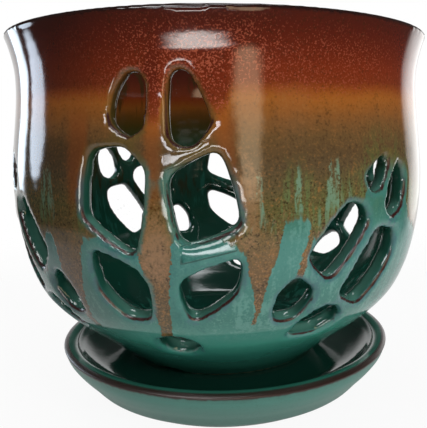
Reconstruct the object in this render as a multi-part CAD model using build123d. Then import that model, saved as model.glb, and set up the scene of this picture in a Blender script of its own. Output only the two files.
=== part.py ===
from build123d import *
import os
from math import cos, degrees, radians, sin

# Orchid pot with leaf-shaped slots, standing in its own saucer. Millimetres, +Z up.
# The origin is on the pot's axis, level with the saucer's base, and the front of the pot faces -Y.

# Pot, with heights measured from the flat of its foot
pot_height = 138.3
rim_radius = 89.2
neck_radius = 85.8
neck_height = 121
belly_radius = 89.2
belly_height = 73
foot_radius = 42
wall = 6.7
lip_width = 6
lip_crown = 1.2
floor_thickness = 7
floor_corner_radius = 6
foot_ring_width = 6
foot_recess = 2.5
foot_notch_width = 9
foot_notches = 3
foot_edge_radius = 1

# Drain holes: one in the middle of the floor, and one low in the wall under each large leaf
floor_drain_radius = 8
side_drain_radius = 7.5
side_drain_rise = 35.5

# Sprays: one large upright leaf between two small ones that lean away from it, front and back.
# Turns are degrees round the pot, to the right as seen from outside, from straight ahead.
# Rises are lengths up the outside of the wall from the edge of the foot.
front_spray_turn = -13.2
back_spray_turn = 168
back_spray_lift = 4
large_leaf_length = 92
large_leaf_width = 57
large_leaf_rise = 95.5
small_leaf_length = 80
small_leaf_width = 38
small_leaf_rise = 78.5
small_leaf_turn = 46.7
small_leaf_lean = 32
slot_corner_radius = 3

# Saucer, with heights measured from its base
saucer_height = 22
saucer_rim_radius = 75
saucer_rim_width = 6
saucer_rim_crown = 1.4
saucer_base_radius = 57.5
saucer_floor_height = 15
saucer_floor_radius = 54.5
saucer_foot_ring_width = 7
saucer_foot_recess = 8
saucer_edge_radius = 1.5

# The pot was set down a little to the left of the saucer's middle
saucer_aside = 2

# How far every cut runs past what it cuts
overrun = 2

quarter_turn = 90
full_turn = 360

# Outer wall between foot and belly, and between belly and neck: how far out and how far up
body_shares = ((0.18, 0.096), (0.49, 0.26), (0.77, 0.44), (0.93, 0.68))
shoulder_shares = ((0.26, 0.42),)

# Saucer's outer wall between base and rim: how far out and how far up
saucer_wall_shares = ((0.33, 0.2), (0.53, 0.4), (0.74, 0.6), (0.91, 0.8))

# Corners of the large leaf's slots, in shares of its width and length from its middle
large_slot_shares = (
    ((-0.08, 0.45), (-0.18, 0.46), (-0.27, 0.39), (-0.3, 0.29), (-0.17, 0.235), (-0.08, 0.26)),
    ((0.07, 0.455), (0.17, 0.465), (0.31, 0.29), (0.21, 0.2), (0.07, 0.215)),
    ((-0.45, 0.19), (-0.21, 0.205), (-0.07, 0.12), (-0.15, -0.2), (-0.5, -0.05)),
    ((0.36, 0.2), (0.06, 0.1), (0.13, -0.15), (0.48, -0.07)),
    ((-0.47, -0.165), (-0.15, -0.24), (-0.09, -0.32), (-0.12, -0.46), (-0.29, -0.46), (-0.44, -0.34)),
    ((0.48, -0.18), (0.1, -0.28), (0.1, -0.35), (0.16, -0.47), (0.43, -0.33)),
)

# Corners of the small leaf's slots, in shares of its width and length from its middle
small_slot_shares = (
    ((-0.09, 0.48), (-0.33, 0.27), (-0.14, 0.225), (-0.05, 0.28)),
    ((0.09, 0.47), (0.31, 0.42), (0.4, 0.29), (0.28, 0.21), (0.11, 0.22), (0.04, 0.32)),
    ((-0.38, 0.12), (-0.18, 0.16), (-0.04, 0.12), (-0.1, -0.21), (-0.47, -0.16)),
    ((0.1, 0.11), (0.45, 0.18), (0.57, 0.07), (0.54, -0.22), (0.12, -0.23)),
    ((-0.43, -0.25), (-0.13, -0.27), (-0.12, -0.43), (-0.31, -0.49), (-0.45, -0.37)),
    ((0.07, -0.54), (0.0, -0.42), (0.08, -0.32), (0.24, -0.28), (0.45, -0.32), (0.39, -0.46)),
)


def pot_outer_wall():
    # One curve from the edge of the foot out to the belly, in to the neck and out to the rim
    points = [Vector(foot_radius, 0, 0)]
    for out, up in body_shares:
        points.append(Vector(foot_radius + (belly_radius - foot_radius) * out, 0, belly_height * up))
    points.append(Vector(belly_radius, 0, belly_height))
    for fall, up in shoulder_shares:
        shoulder_radius = belly_radius + (neck_radius - belly_radius) * fall
        points.append(Vector(shoulder_radius, 0, belly_height + (neck_height - belly_height) * up))
    points.append(Vector(neck_radius, 0, neck_height))
    points.append(Vector(rim_radius, 0, pot_height - lip_crown))
    return Spline(*points), points


def outward(tangent):
    # The direction out of the wall, square to a rising tangent in the XZ plane
    return Vector(tangent.Z, 0, -tangent.X)


def pot_inner_wall(outer, outer_points):
    # The same curve, one wall thickness in, from just above the floor to the lip
    points = []
    for point in outer_points[2:-1]:
        points.append(point - outward(outer.tangent_at(point)) * wall)
    lip_start = Vector(rim_radius - lip_width, 0, pot_height - lip_crown)
    points.append(lip_start)
    low_point = points[0]
    floor_top = foot_recess + floor_thickness
    low_slope = outer.tangent_at(outer_points[1])
    drop = low_point.Z - floor_top
    floor_edge = Vector(low_point.X - low_slope.X / low_slope.Z * drop, 0, floor_top)
    return Spline(floor_edge, *points), floor_edge, lip_start


def pot_body():
    outer, outer_points = pot_outer_wall()
    inner, floor_edge, inner_lip = pot_inner_wall(outer, outer_points)
    outer_lip = outer_points[-1]
    lip = ThreePointArc(outer_lip, (outer_lip + inner_lip) / 2 + Vector(0, 0, lip_crown), inner_lip)
    ring_inner_radius = foot_radius - foot_ring_width
    underside = Polyline(
        (foot_radius, 0, 0),
        (ring_inner_radius, 0, 0),
        (ring_inner_radius - foot_recess, 0, foot_recess),
        (0, 0, foot_recess),
        (0, 0, floor_edge.Z),
        floor_edge,
    )
    profile = make_face([outer, lip, inner, *underside.edges()])
    floor_corner = profile.vertices().sort_by_distance(floor_edge)[0]
    profile = fillet(floor_corner, floor_corner_radius)
    foot_edge = profile.vertices().sort_by_distance((foot_radius, 0, 0))[0]
    profile = fillet(foot_edge, foot_edge_radius)
    return revolve(profile, Axis.Z)


def wall_plane(rise):
    # A plane on the outer wall, that far up the curve from the foot, at the +X side.
    # Its X runs to the right as seen from outside, its Y up the wall and its Z straight out.
    outer, _ = pot_outer_wall()
    point = outer.position_at(rise, position_mode=PositionMode.LENGTH)
    tangent = outer.tangent_at(rise, position_mode=PositionMode.LENGTH)
    return Plane(origin=point, x_dir=(0, 1, 0), z_dir=outward(tangent))


def on_wall(turn, rise):
    return Rot(0, 0, turn - quarter_turn) * wall_plane(rise).location


def wall_cut(face, turn, rise):
    # A prism square to the wall, from well inside the pot to well outside it
    reach = wall + overrun * 2
    return on_wall(turn, rise) * extrude(Pos(0, 0, -reach) * face, amount=reach * 2)


def leaf_slots(turn, rise, width, length, slot_shares, lean, side):
    # One leaf's slots, each cut square to the wall at the slot's own middle.
    # The side is 1 for a leaf as tabled and -1 for its mirror image.
    cuts = []
    lean_cos = cos(radians(lean))
    lean_sin = sin(radians(lean))
    for outline in slot_shares:
        points = [(across * width, along * length) for across, along in outline]
        middle_across = sum(x for x, _ in points) / len(points)
        middle_along = sum(y for _, y in points) / len(points)
        sketch_points = []
        for x, y in points:
            from_middle_x = x - middle_across
            from_middle_y = y - middle_along
            sketch_points.append((
                side * (from_middle_x * lean_cos + from_middle_y * lean_sin),
                from_middle_y * lean_cos - from_middle_x * lean_sin,
            ))
        slot_across = side * (middle_across * lean_cos + middle_along * lean_sin)
        slot_rise = rise + middle_along * lean_cos - middle_across * lean_sin
        slot_turn = turn + degrees(slot_across / wall_plane(slot_rise).origin.X)
        slot = make_face(Polyline(*sketch_points, close=True))
        slot = fillet(slot.vertices(), slot_corner_radius)
        cuts.append(wall_cut(slot, slot_turn, slot_rise))
    return cuts


def spray_cuts(turn, lift):
    # The slots of three leaves, and the drain hole under the large one
    cuts = leaf_slots(
        turn, large_leaf_rise + lift, large_leaf_width, large_leaf_length, large_slot_shares, 0, 1)
    for side in (-1, 1):
        cuts += leaf_slots(
            turn + side * small_leaf_turn, small_leaf_rise + lift, small_leaf_width, small_leaf_length,
            small_slot_shares, small_leaf_lean, side)
    cuts.append(wall_cut(Circle(side_drain_radius).face(), turn, side_drain_rise))
    return cuts


def foot_cuts():
    # The floor drain, and notches across the foot ring that let water out from under the pot
    floor_top = foot_recess + floor_thickness
    cuts = [extrude(Circle(floor_drain_radius), amount=floor_top + overrun)]
    notch = Box(
        foot_ring_width + foot_recess + overrun * 2,
        foot_notch_width,
        foot_recess,
        align=(Align.MAX, Align.CENTER, Align.MIN),
    )
    for index in range(foot_notches):
        angle = full_turn / foot_notches * index
        cuts.append(Rot(0, 0, angle) * Pos(foot_radius + foot_recess + overrun, 0, 0) * notch)
    return cuts


def pot():
    cuts = foot_cuts() + spray_cuts(front_spray_turn, 0) + spray_cuts(back_spray_turn, back_spray_lift)
    return Pos(0, 0, saucer_floor_height) * (pot_body() - cuts)


def saucer():
    base_edge = Vector(saucer_base_radius, 0, 0)
    outer_rim = Vector(saucer_rim_radius, 0, saucer_height - saucer_rim_crown)
    inner_rim = outer_rim - Vector(saucer_rim_width, 0, 0)
    floor_edge = Vector(saucer_floor_radius, 0, saucer_floor_height)
    wall_points = [base_edge]
    for out, up in saucer_wall_shares:
        wall_points.append(base_edge + Vector(
            (saucer_rim_radius - saucer_base_radius) * out, 0, outer_rim.Z * up))
    wall_points.append(outer_rim)
    outer = Spline(*wall_points)
    rim = ThreePointArc(outer_rim, (outer_rim + inner_rim) / 2 + Vector(0, 0, saucer_rim_crown), inner_rim)
    dish = Spline(inner_rim, floor_edge, tangents=((-1, 0, -1), (-1, 0, 0)))
    ring_inner_radius = saucer_base_radius - saucer_foot_ring_width
    underside = Polyline(
        floor_edge,
        (0, 0, saucer_floor_height),
        (0, 0, saucer_foot_recess),
        (ring_inner_radius - saucer_foot_ring_width / 2, 0, saucer_foot_recess),
        (ring_inner_radius, 0, 0),
        base_edge,
    )
    profile = make_face([outer, rim, dish, *underside.edges()])
    foot_edge = profile.vertices().sort_by_distance(base_edge)[0]
    profile = fillet(foot_edge, saucer_edge_radius)
    return Pos(saucer_aside, 0, 0) * revolve(profile, Axis.Z)


os.makedirs("parts", exist_ok=True)
export_step(pot(), "parts/pot.step")
export_step(saucer(), "parts/saucer.step")
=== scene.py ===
from bisect import bisect_left
import math
import bpy
import numpy
from mathutils import Matrix, Vector
from mathutils.bvhtree import BVHTree
from mathutils.kdtree import KDTree


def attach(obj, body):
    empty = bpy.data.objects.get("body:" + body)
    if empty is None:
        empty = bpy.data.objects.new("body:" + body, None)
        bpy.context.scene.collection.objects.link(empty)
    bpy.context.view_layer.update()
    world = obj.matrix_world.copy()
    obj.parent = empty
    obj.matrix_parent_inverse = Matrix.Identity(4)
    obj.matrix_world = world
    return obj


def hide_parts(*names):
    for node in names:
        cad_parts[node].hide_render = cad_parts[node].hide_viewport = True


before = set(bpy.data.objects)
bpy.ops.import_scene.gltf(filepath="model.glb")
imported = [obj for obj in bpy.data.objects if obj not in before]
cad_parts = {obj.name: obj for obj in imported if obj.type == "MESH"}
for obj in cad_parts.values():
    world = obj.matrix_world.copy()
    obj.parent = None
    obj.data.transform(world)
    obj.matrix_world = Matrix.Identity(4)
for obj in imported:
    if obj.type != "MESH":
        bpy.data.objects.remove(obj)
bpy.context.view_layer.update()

mm = 0.001
mergeWithin = 0.02 * mm
startRadius = 10 * mm  # a new circle's, before its vertices are placed


def selectOnly(*pieces):
    if bpy.context.object and bpy.context.object.mode != "OBJECT":
        bpy.ops.object.mode_set(mode="OBJECT")
    bpy.ops.object.select_all(action="DESELECT")
    for piece in pieces:
        piece.select_set(True)
    if pieces:
        bpy.context.view_layer.objects.active = pieces[0]


def smoothLine(corners, perSpan):
    # a soft line through the given points, as an auto-handled curve gives
    line = []
    last = len(corners) - 1
    for i in range(last):
        p0 = Vector(corners[max(i - 1, 0)])
        p1 = Vector(corners[i])
        p2 = Vector(corners[i + 1])
        p3 = Vector(corners[min(i + 2, last)])
        for k in range(perSpan):
            t = k / perSpan
            line.append(0.5 * (2 * p1 + (p2 - p0) * t + (2 * p0 - 5 * p1 + 4 * p2 - p3) * t * t
                               + (3 * p1 - 3 * p2 + p3 - p0) * t * t * t))
    line.append(Vector(corners[-1]))
    return line


def spunForm(name, section, steps, centreX, openAtAxis):
    # a ring of vertices is shaped into the section, then spun round the upright axis
    selectOnly()
    bpy.ops.mesh.primitive_circle_add(vertices=len(section), radius=startRadius)
    form = bpy.context.object
    form.name = form.data.name = name
    for vert, (out, up) in zip(form.data.vertices, section):
        vert.co = (centreX + out * mm, 0, up * mm)
    if openAtAxis:
        # the section starts and ends on the axis, and has no edge along it
        for edge in form.data.edges:
            edge.select = all(abs(form.data.vertices[v].co.x - centreX) < mergeWithin for v in edge.vertices)
        for vert in form.data.vertices:
            vert.select = False
        bpy.ops.object.mode_set(mode="EDIT")
        bpy.ops.mesh.select_mode(type="EDGE")
        bpy.ops.mesh.delete(type="EDGE")
        bpy.ops.mesh.select_mode(type="VERT")
    else:
        bpy.ops.object.mode_set(mode="EDIT")
    bpy.ops.mesh.select_all(action="SELECT")
    bpy.ops.mesh.spin(steps=steps, angle=2 * math.pi, center=(centreX, 0, 0), axis=(0, 0, 1))
    bpy.ops.mesh.select_all(action="SELECT")
    bpy.ops.mesh.remove_doubles(threshold=mergeWithin)
    bpy.ops.mesh.normals_make_consistent(inside=False)
    bpy.ops.object.mode_set(mode="OBJECT")
    bpy.ops.object.transform_apply(location=True, rotation=True, scale=True)
    return form


def finishWith(piece, name, kind, **settings):
    # a modifier on the active piece, applied
    made = piece.modifiers.new(name, kind)
    for setting, value in settings.items():
        setattr(made, setting, value)
    bpy.ops.object.modifier_apply(modifier=made.name)


potForm = {
    "outerWall": ((42, 15), (43.3, 16), (48.1, 20), (53.0, 24), (57.36, 27.6), (64.67, 33.6), (71.62, 39.6),
                  (77.21, 45.6), (81.06, 51.6), (84.54, 60), (86.71, 68), (88.17, 76), (89.0, 84), (89.26, 92),
                  (89.02, 100), (88.33, 108), (87.37, 116), (86.44, 124), (85.86, 132), (86.14, 140),
                  (87.79, 148), (89.2, 152.1)),
    "lip": ((88.6, 152.8), (87.5, 153.2), (86.2, 153.3), (84.9, 153.2), (83.8, 152.8)),
    "innerWall": ((83.2, 152.1), (81.42, 148), (79.3, 140), (78.79, 132), (79.33, 124), (80.3, 116),
                  (81.37, 108), (82.12, 100), (82.41, 92), (82.09, 84), (81.13, 76), (79.55, 68), (76.6, 58.5),
                  (73.07, 51.6), (68.05, 45.6), (61.21, 39.6), (53.54, 33.6), (46.14, 27.6), (43.2, 25.6),
                  (40.6, 24.7), (38, 24.5)),
    "floorAndFoot": ((30, 24.5), (20, 24.5), (9.2, 24.5), (8.3, 24.1), (8, 23.2), (8, 19), (8.3, 18), (9.2, 17.5),
                     (20, 17.5), (33, 17.5), (34.6, 16.6), (35.6, 15.3), (36.4, 15), (38.5, 15), (41, 15)),
    "perSpan": 3,
    "steps": 240,
    "wall": 6.7,
    "footNotches": 3,
    "footNotchSize": (12.5, 9, 5),
    "footNotchPlace": (40, 0, 15),
    # the size of the even mesh's faces, and how far off the thrown form a cut face lies at least
    "grain": 1.48,
    "cutFace": 0.35,
    # where the softening ends and where the plain wall begins, in millimetres from a cut face
    "softEdges": (4.6, 2),
    "plainWall": (1.3, 2.9),
    # rounds that even out the distances for the edges and for the glaze
    "edgeRounds": 6,
    "glazeRounds": 3,
    # the two smoothing factors, how often they take turns, and the last passes
    "smoothIn": 0.5,
    "smoothOut": -0.53,
    "evening": 12,
    "softening": 3,
}

outerLine = smoothLine(potForm["outerWall"], potForm["perSpan"])
innerLine = smoothLine(potForm["innerWall"], potForm["perSpan"])


def outerPoint(rise):
    # how far out and up the wall is, and which way it faces, that length up from the foot
    left = rise
    for a, b in zip(outerLine, outerLine[1:]):
        span = (b - a).length
        if left <= span or b is outerLine[-1]:
            along = (b - a).normalized()
            return a + along * left, Vector((along.y, -along.x))
        left -= span


# Each leaf's slots are given by their corners, in shares of the leaf's width and length from its middle
leafSlots = {
    # a corner's radius, and the largest share of a side that its rounding takes
    "corner": 3.6,
    "cornerShare": 0.42,
    "arcPoints": 8,
    # how far a side bows out, in shares of its length
    "bulge": 0.03,
    "points": 44,
    # how far the soft edge flares out from the slot, and how deep there: outer face, then inner face
    "outerEdge": ((2.8, 1.4), (1.2, 0.0), (0.7, -0.15), (0.32, -0.45), (0.08, -0.9), (0.0, -1.6)),
    "innerEdge": ((0.0, 1.9), (0.45, 0.9), (1.1, 0.3), (2.0, 0.0), (4.4, -1.2)),
    "large": (57, 92, (
        ((-0.08, 0.45), (-0.18, 0.46), (-0.27, 0.39), (-0.3, 0.29), (-0.17, 0.235), (-0.08, 0.26)),
        ((0.07, 0.455), (0.17, 0.465), (0.31, 0.29), (0.21, 0.2), (0.07, 0.215)),
        ((-0.45, 0.19), (-0.21, 0.205), (-0.07, 0.12), (-0.15, -0.2), (-0.5, -0.05)),
        ((0.36, 0.2), (0.06, 0.1), (0.13, -0.15), (0.48, -0.07)),
        ((-0.47, -0.165), (-0.15, -0.24), (-0.09, -0.32), (-0.12, -0.46), (-0.29, -0.46), (-0.44, -0.34)),
        ((0.48, -0.18), (0.1, -0.28), (0.1, -0.35), (0.16, -0.47), (0.43, -0.33)),
    )),
    "small": (38, 80, (
        ((-0.09, 0.48), (-0.33, 0.27), (-0.14, 0.225), (-0.05, 0.28)),
        ((0.09, 0.47), (0.31, 0.42), (0.4, 0.29), (0.28, 0.21), (0.11, 0.22), (0.04, 0.32)),
        ((-0.38, 0.12), (-0.18, 0.16), (-0.04, 0.12), (-0.1, -0.21), (-0.47, -0.16)),
        ((0.1, 0.11), (0.45, 0.18), (0.57, 0.07), (0.54, -0.22), (0.12, -0.23)),
        ((-0.43, -0.25), (-0.13, -0.27), (-0.12, -0.43), (-0.31, -0.49), (-0.45, -0.37)),
        ((0.07, -0.54), (0.0, -0.42), (0.08, -0.32), (0.24, -0.28), (0.45, -0.32), (0.39, -0.46)),
    )),
    # turn round the pot from straight ahead, lift up the wall, for the front and the back spray
    "sprays": ((-13.2, 0), (168, 4)),
    "largeRise": 95.5,
    "smallRise": 78.5,
    "smallTurn": 46.7,
    "smallLean": 32,
    "drainRise": 35.5,
    "drainRadius": 7.5,
}


def softOutline(corners):
    # the corners are rounded, the sides bow out a little as a knife leaves them, and the points are evened out
    middle = sum(corners, Vector((0, 0))) / len(corners)
    size = len(corners)
    steps = leafSlots["arcPoints"]

    def roundedFrom(i):
        # how far from its corner a rounding starts
        corner = corners[i % size]
        toBefore, toAfter = corners[i - 1] - corner, corners[(i + 1) % size] - corner
        return min(leafSlots["corner"] / math.tan(toBefore.angle(toAfter) / 2),
                   leafSlots["cornerShare"] * toBefore.length, leafSlots["cornerShare"] * toAfter.length)

    dense = []
    for i, corner in enumerate(corners):
        after = corners[(i + 1) % size]
        toAfter = (after - corner).normalized()
        start = corner + (corners[i - 1] - corner).normalized() * roundedFrom(i)
        end = corner + toAfter * roundedFrom(i)
        for k in range(steps + 1):
            t = k / steps
            dense.append(start * (1 - t) ** 2 + corner * 2 * t * (1 - t) + end * t * t)
        target = after - toAfter * roundedFrom(i + 1)
        side = target - end
        outward = Vector((side.y, -side.x))
        if outward.dot((end + target) / 2 - middle) < 0:
            outward = -outward
        for k in range(1, steps):
            t = k / steps
            dense.append(end + side * t + outward * leafSlots["bulge"] * 4 * t * (1 - t))

    lengths = [0]
    for a, b in zip(dense, dense[1:] + dense[:1]):
        lengths.append(lengths[-1] + (b - a).length)
    outline = []
    k = 0
    for i in range(leafSlots["points"]):
        want = lengths[-1] * i / leafSlots["points"]
        while lengths[k + 1] < want:
            k += 1
        a, b = dense[k], dense[(k + 1) % len(dense)]
        outline.append(a + (b - a) * ((want - lengths[k]) / max(lengths[k + 1] - lengths[k], 1e-9)))
    return outline


def flatCutter(name, outline):
    # a solid the shape of the slot, extruded in steps from outside the wall to inside it, flared at both faces
    selectOnly()
    bpy.ops.mesh.primitive_circle_add(vertices=len(outline), radius=startRadius, fill_type="NGON")
    cutter = bpy.context.object
    cutter.name = cutter.data.name = name
    middle = sum(outline, Vector((0, 0))) / len(outline)
    half = [max(abs((p - middle)[k]) for p in outline) for k in (0, 1)]
    steps = list(leafSlots["outerEdge"])
    for flare, depth in leafSlots["innerEdge"]:
        steps.append((flare, depth - potForm["wall"]))

    def grown(flare):
        return [(h + flare) / h for h in half]

    firstFlare, firstDepth = steps[0]
    wide, long = grown(firstFlare)
    for vert, p in zip(cutter.data.vertices, outline):
        local = p - middle
        vert.co = (local.x * wide * mm, local.y * long * mm, firstDepth * mm)
    bpy.ops.object.mode_set(mode="EDIT")
    bpy.ops.mesh.select_all(action="SELECT")
    for (flareA, depthA), (flareB, depthB) in zip(steps, steps[1:]):
        bpy.ops.mesh.extrude_region_move(TRANSFORM_OT_translate={"value": (0, 0, (depthB - depthA) * mm)})
        a, b = grown(flareA), grown(flareB)
        bpy.ops.transform.resize(value=(b[0] / a[0], b[1] / a[1], 1), center_override=(0, 0, 0))
    bpy.ops.mesh.select_all(action="SELECT")
    bpy.ops.mesh.normals_make_consistent(inside=False)
    bpy.ops.object.mode_set(mode="OBJECT")
    return cutter, middle


def wrapOnWall(cutter, turn, rise):
    # bends a flat piece onto the wall: across becomes a turn, along a rise, and out the wall's own direction
    for vert in cutter.data.vertices:
        x, y, z = vert.co / mm
        point, facing = outerPoint(rise + y)
        angle = math.radians(turn) + x / point.x
        out = point.x + facing.x * z
        up = point.y + facing.y * z
        vert.co = (out * math.sin(angle) * mm, -out * math.cos(angle) * mm, up * mm)


def leafCutters(kind, turn, rise, lean, side):
    width, length, slots = leafSlots[kind]
    c, s = math.cos(math.radians(lean)), math.sin(math.radians(lean))
    made = []
    for slot in slots:
        corners = []
        for across, along in slot:
            x, y = across * width, along * length
            corners.append(Vector((side * (x * c + y * s), y * c - x * s)))
        cutter, middle = flatCutter("slotCutter", softOutline(corners))
        slotRise = rise + middle.y
        wrapOnWall(cutter, turn + math.degrees(middle.x / outerPoint(slotRise)[0].x), slotRise)
        made.append(cutter)
    return made


def allCutters():
    made = []
    for turn, lift in leafSlots["sprays"]:
        made += leafCutters("large", turn, leafSlots["largeRise"] + lift, 0, 1)
        for side in (-1, 1):
            made += leafCutters("small", turn + side * leafSlots["smallTurn"], leafSlots["smallRise"] + lift,
                                leafSlots["smallLean"], side)
        ring = []
        for k in range(leafSlots["points"]):
            angle = 2 * math.pi * k / leafSlots["points"]
            ring.append(Vector((math.cos(angle), math.sin(angle))) * leafSlots["drainRadius"])
        hole = flatCutter("drainCutter", ring)[0]
        wrapOnWall(hole, turn, leafSlots["drainRise"])
        made.append(hole)
    # notches across the foot ring
    for k in range(potForm["footNotches"]):
        selectOnly()
        bpy.ops.mesh.primitive_cube_add(size=1, location=(0, 0, 0))
        notch = bpy.context.object
        notch.name = notch.data.name = "notchCutter"
        bpy.ops.object.mode_set(mode="EDIT")
        bpy.ops.transform.resize(value=[size * mm for size in potForm["footNotchSize"]])
        bpy.ops.transform.translate(value=[place * mm for place in potForm["footNotchPlace"]])
        bpy.ops.object.mode_set(mode="OBJECT")
        notch.data.transform(Matrix.Rotation(2 * math.pi * k / potForm["footNotches"], 4, "Z"))
        made.append(notch)
    return made


def cutSlots(pot):
    cutters = allCutters()
    tools = bpy.data.collections.new("potCutters")
    bpy.context.scene.collection.children.link(tools)
    for cutter in cutters:
        for home in list(cutter.users_collection):
            home.objects.unlink(cutter)
        tools.objects.link(cutter)
    selectOnly(pot)
    finishWith(pot, "slots", "BOOLEAN", operation="DIFFERENCE", operand_type="COLLECTION", collection=tools,
               solver="MANIFOLD")
    for cutter in cutters:
        bpy.data.objects.remove(cutter)
    bpy.data.collections.remove(tools)


def evenOut(mesh, values, rounds):
    # each vertex takes half of its neighbours' mean, so that a value has no steps along the mesh
    pairs = numpy.empty(len(mesh.edges) * 2, dtype=numpy.int32)
    mesh.edges.foreach_get("vertices", pairs)
    a, b = pairs[0::2], pairs[1::2]
    count = numpy.bincount(pairs, minlength=len(values))
    values = numpy.array(values)
    for k in range(rounds):
        near = numpy.bincount(a, values[b], len(values)) + numpy.bincount(b, values[a], len(values))
        values = 0.5 * values + 0.5 * near / count
    return values.tolist()


def cutFaces(pot, form):
    # what lies off the thrown form is a cut face
    surface = BVHTree.FromObject(form, bpy.context.evaluated_depsgraph_get())
    offForm = [v for v in pot.data.vertices if surface.find_nearest(v.co)[3] > potForm["cutFace"] * mm]
    tree = KDTree(len(offForm))
    for v in offForm:
        tree.insert(v.co, v.index)
    tree.balance()
    return tree


def apartFrom(cuts, pot, rounds):
    # how many millimetres each vertex lies from a cut face
    return evenOut(pot.data, [cuts.find(v.co)[2] / mm for v in pot.data.vertices], rounds)


def softenSlots(pot, form, cuts):
    # the plain wall settles back on the thrown form, and smoothing in and out by turns evens the slot edges
    # without shrinking them; the last passes round them
    apart = apartFrom(cuts, pot, potForm["edgeRounds"])
    for name, (first, last) in (("softEdges", potForm["softEdges"]), ("plainWall", potForm["plainWall"])):
        group = pot.vertex_groups.new(name=name)
        for v in pot.data.vertices:
            share = min(max((apart[v.index] - first) / (last - first), 0), 1)
            group.add([v.index], share * share * (3 - 2 * share), "REPLACE")
    finishWith(pot, "settle", "SHRINKWRAP", target=form, wrap_method="NEAREST_SURFACEPOINT",
               vertex_group="plainWall")
    turns = [(potForm["smoothIn"], 1), (potForm["smoothOut"], 1)] * potForm["evening"]
    for factor, passes in turns + [(potForm["smoothIn"], potForm["softening"])]:
        finishWith(pot, "soften", "SMOOTH", factor=factor, iterations=passes, vertex_group="softEdges")
    pot.vertex_groups.clear()


def markForGlaze(pot, cuts):
    # the glaze reads how near a cut is, and how deep in the wall
    heights = [p.y for p in outerLine]
    nearCut = pot.data.attributes.new("nearCut", "FLOAT", "POINT")
    depth = pot.data.attributes.new("depth", "FLOAT", "POINT")
    for v, apart in zip(pot.data.vertices, apartFrom(cuts, pot, potForm["glazeRounds"])):
        nearCut.data[v.index].value = apart
        up = v.co.z / mm
        out = math.hypot(v.co.x, v.co.y) / mm
        k = min(max(bisect_left(heights, up), 1), len(heights) - 1)
        a, b = outerLine[k - 1], outerLine[k]
        along = (b - a).normalized()
        depth.data[v.index].value = -((Vector((out, up)) - a).dot(Vector((along.y, -along.x))))


def makePot():
    section = [tuple(p) for p in outerLine[:-1]]
    section += list(potForm["outerWall"][-1:]) + list(potForm["lip"])
    section += [tuple(p) for p in innerLine]
    section += list(potForm["floorAndFoot"])
    form = spunForm("potForm", section, potForm["steps"], 0, False)
    print("pot: thrown form spun,", len(form.data.polygons), "faces")

    selectOnly(form)
    bpy.ops.object.duplicate()
    pot = bpy.context.object
    pot.name = pot.data.name = "glazedPot"
    cutSlots(pot)
    print("pot: slots cut,", len(pot.data.polygons), "faces")

    selectOnly(pot)
    finishWith(pot, "evenMesh", "REMESH", mode="VOXEL", voxel_size=potForm["grain"] * mm, adaptivity=0)
    print("pot: even mesh,", len(pot.data.polygons), "faces")

    cuts = cutFaces(pot, form)
    softenSlots(pot, form, cuts)
    markForGlaze(pot, cuts)
    selectOnly(pot)
    bpy.ops.object.shade_smooth()
    pot.data.materials.clear()
    bpy.data.objects.remove(form)
    return pot


def colour(code):
    # a colour as written for the screen, as the linear one that the nodes use
    parts = [int(code[i:i + 2], 16) / 255 for i in (0, 2, 4)]
    return tuple(p / 12.92 if p <= 0.04045 else ((p + 0.055) / 1.055) ** 2.4 for p in parts) + (1,)


def isSocket(value):
    return isinstance(value, bpy.types.NodeSocket)


def addNode(tree, kind, label, inputs=None, **settings):
    made = tree.nodes.new(kind)
    made.label = label
    for name, value in settings.items():
        setattr(made, name, value)
    for name, value in (inputs or {}).items():
        if isSocket(value):
            tree.links.new(value, made.inputs[name])
        else:
            made.inputs[name].default_value = value
    return made


def calc(operation, *values):
    # a maths node, in the tree that its values come from
    tree = next(value.id_data for value in values if isSocket(value))
    return addNode(tree, "ShaderNodeMath", operation.lower(), dict(enumerate(values)), operation=operation).outputs[0]


def times(*values):
    product = values[0]
    for value in values[1:]:
        product = calc("MULTIPLY", product, value)
    return product


def timesPlus(a, b, c):
    return calc("MULTIPLY_ADD", a, b, c)


def minus(a, b):
    return calc("SUBTRACT", a, b)


def softStep(value, start, end):
    return addNode(value.id_data, "ShaderNodeMapRange", "soft step",
                   {"Value": value, "From Min": start, "From Max": end},
                   interpolation_type="SMOOTHSTEP").outputs["Result"]


def blendValue(label, mask, under, over):
    return addNode(mask.id_data, "ShaderNodeMix", label, {0: mask, 2: under, 3: over}).outputs[0]


def blendColour(label, mask, under, over):
    # each colour comes from a node, or is written for the screen
    under, over = (colour(end) if isinstance(end, str) else end for end in (under, over))
    return addNode(mask.id_data, "ShaderNodeMix", label, {0: mask, 6: under, 7: over}, data_type="RGBA").outputs[2]


def heightColours(label, value, stops):
    # a ramp of colours, each given at its height in millimetres
    low, high = stops[0][0], stops[-1][0]
    share = addNode(value.id_data, "ShaderNodeMapRange", "height share",
                    {"Value": value, "From Min": low, "From Max": high}).outputs["Result"]
    ramp = addNode(value.id_data, "ShaderNodeValToRGB", label, {0: share})
    steps = ramp.color_ramp.elements
    for i, (height, code) in enumerate(stops):
        place = (height - low) / (high - low)
        step = steps[i] if i < 2 else steps.new(place)
        step.position = place
        step.color = colour(code)
    return ramp.outputs["Color"]


def drawnCurve(label, value, points, top):
    # a line drawn round the pot: turn in degrees across, and a height or an amount up, as far as the top
    low, high = points[0][0], points[-1][0]
    share = addNode(value.id_data, "ShaderNodeMapRange", "turn share",
                    {"Value": value, "From Min": low, "From Max": high}).outputs["Result"]
    line = addNode(value.id_data, "ShaderNodeFloatCurve", label, {"Value": share})
    curve = line.mapping.curves[0]
    for i, (x, y) in enumerate(points):
        place = ((x - low) / (high - low), y / top)
        if i in (0, len(points) - 1):
            curve.points[0 if i == 0 else len(curve.points) - 1].location = place
        else:
            curve.points.new(*place)
    for point in curve.points:
        point.handle_type = "AUTO_CLAMPED"
    line.mapping.update()
    return times(line.outputs["Value"], top)


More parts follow.
